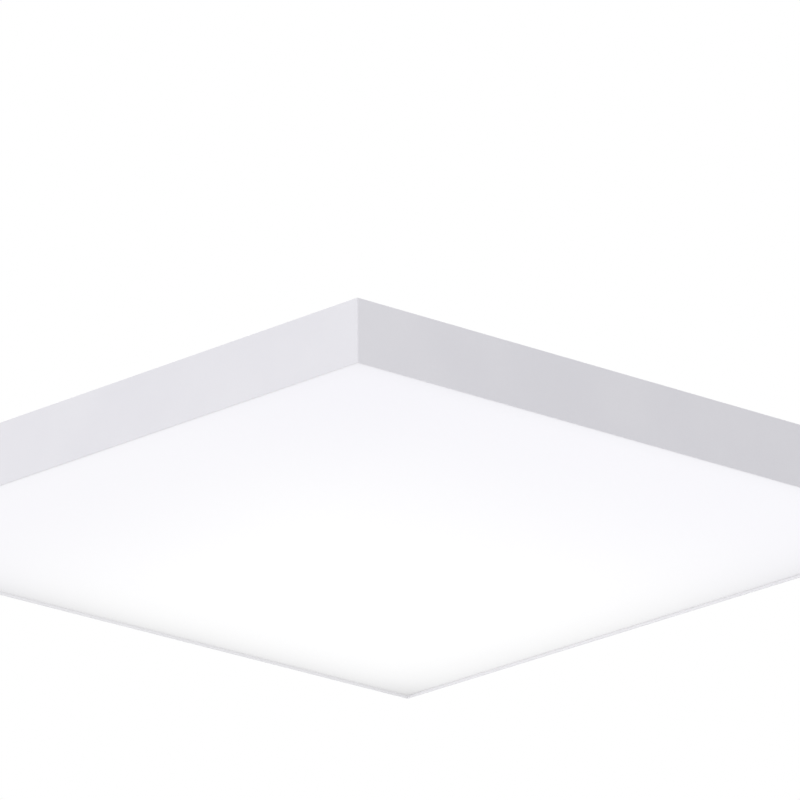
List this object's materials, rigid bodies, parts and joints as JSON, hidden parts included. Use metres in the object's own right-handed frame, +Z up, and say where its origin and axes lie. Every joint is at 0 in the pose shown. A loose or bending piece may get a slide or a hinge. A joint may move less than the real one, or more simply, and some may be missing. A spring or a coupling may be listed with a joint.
{
  "type": "flush mount ceiling light",
  "caption": "Slim square surface-mounted ceiling light panel with a lit diffuser, white frame and drop-down shade.",
  "frame": {"origin": "middle of the pan's flat top face, which lies on the ceiling; the light hangs below it", "axes": "+Z up into the ceiling, +X to the light's right side and +Y to its rear, each square to a side of the frame"},
  "size_m": [0.6, 0.6, 0.05],
  "materials": {
    "powder_coat": "white powder coat on extruded aluminium, fine texture",
    "opal": "opal diffusing plastic, satin, lit from behind",
    "zinc_coat": "galvanised sheet steel with fine spangle",
    "spring_steel": "blued-grey spring strip",
    "plated_steel": "zinc-plated screws and stud",
    "die_cast": "cast alloy, matt",
    "rivet_alloy": "plain alloy rivets",
    "black_rubber": "matt black rubber",
    "grey_rubber": "matt grey rubber",
    "reflector_white": "white reflective coating, satin",
    "board_white": "white solder mask on an alloy board",
    "phosphor": "pale yellow light source in a white pack",
    "clear_lens": "clear moulded lens",
    "white_nylon": "natural white nylon",
    "connector_white": "ivory connector plastic",
    "driver_white": "white moulded case, fine spark texture",
    "board_green": "green circuit board",
    "component_dark": "dark components",
    "terminal_grey": "light grey terminal block",
    "button_orange": "orange release button",
    "wire_red": "red insulation",
    "wire_black": "black insulation",
    "wire_blue": "blue insulation",
    "wire_brown": "brown insulation",
    "wire_earth": "green and yellow insulation",
    "tinned_copper": "tinned ring terminal"
  },
  "bodies": {
    "chassis": {"bar_connectors": "connector_white", "bar_rivets": "white_nylon", "cable_grommet": "black_rubber", "catch_rivets": "rivet_alloy", "catch_springs": "spring_steel", "ceiling_pan": "zinc_coat", "driver_board": "board_green", "driver_case": "driver_white", "driver_components": "component_dark", "driver_lid": "driver_white", "driver_screws": "plated_steel", "earth_lead": "wire_earth", "earth_nut": "plated_steel", "earth_ring": "tinned_copper", "earth_stud": "plated_steel", "feed_connector": "connector_white", "jumper_wires_minus": "wire_black", "jumper_wires_plus": "wire_red", "lead_grommet": "grey_rubber", "lenses": "clear_lens", "light_bar_1": "board_white", "light_bar_2": "board_white", "light_bar_3": "board_white", "light_bar_4": "board_white", "light_bar_5": "board_white", "light_bar_6": "board_white", "light_bar_7": "board_white", "light_bar_8": "board_white", "light_bar_9": "board_white", "light_sources": "phosphor", "live_lead": "wire_brown", "neutral_lead": "wire_blue", "output_lead_minus": "wire_black", "output_lead_plus": "wire_red", "reflector_tray": "reflector_white", "terminal_block": "terminal_grey", "terminal_screws": "plated_steel", "tray_rail_front": "zinc_coat", "tray_rail_rear": "zinc_coat"},
    "shade": {"corner_key_front_left": "die_cast", "corner_key_front_right": "die_cast", "corner_key_rear_left": "die_cast", "corner_key_rear_right": "die_cast", "corner_key_screws": "plated_steel", "frame_front": "powder_coat", "frame_left": "powder_coat", "frame_rear": "powder_coat", "frame_right": "powder_coat", "diffuser": "opal"},
    "tray_knob_1": {"tray_knob_1": "white_nylon"},
    "tray_knob_2": {"tray_knob_2": "white_nylon"},
    "tray_knob_3": {"tray_knob_3": "white_nylon"},
    "tray_knob_4": {"tray_knob_4": "white_nylon"},
    "release_button_1": {"release_button_1": "button_orange"},
    "release_button_2": {"release_button_2": "button_orange"},
    "release_button_3": {"release_button_3": "button_orange"}
  },
  "joints": [
    {"name": "shade_drop", "type": "slide", "parent": "chassis", "child": "shade", "axis": [0, 0, -1], "range_m": [0, 0.06], "deforming": ["catch_springs"]},
    {"name": "knob_1_turn", "type": "hinge", "parent": "chassis", "child": "tray_knob_1", "pos_m": [-0.18, -0.15, -0.0188], "axis": [0, 0, 1], "range_deg": [0, 90]},
    {"name": "knob_2_turn", "type": "hinge", "parent": "chassis", "child": "tray_knob_2", "pos_m": [-0.18, 0.15, -0.0188], "axis": [0, 0, 1], "range_deg": [0, 90]},
    {"name": "knob_3_turn", "type": "hinge", "parent": "chassis", "child": "tray_knob_3", "pos_m": [0.18, -0.15, -0.0188], "axis": [0, 0, 1], "range_deg": [0, 90]},
    {"name": "knob_4_turn", "type": "hinge", "parent": "chassis", "child": "tray_knob_4", "pos_m": [0.18, 0.15, -0.0188], "axis": [0, 0, 1], "range_deg": [0, 90]},
    {"name": "button_1_press", "type": "slide", "parent": "chassis", "child": "release_button_1", "axis": [0, 0, 1], "range_m": [0, 0.0015], "stiffness_N_per_m": 2000},
    {"name": "button_2_press", "type": "slide", "parent": "chassis", "child": "release_button_2", "axis": [0, 0, 1], "range_m": [0, 0.0015], "stiffness_N_per_m": 2000},
    {"name": "button_3_press", "type": "slide", "parent": "chassis", "child": "release_button_3", "axis": [0, 0, 1], "range_m": [0, 0.0015], "stiffness_N_per_m": 2000}
  ]
}
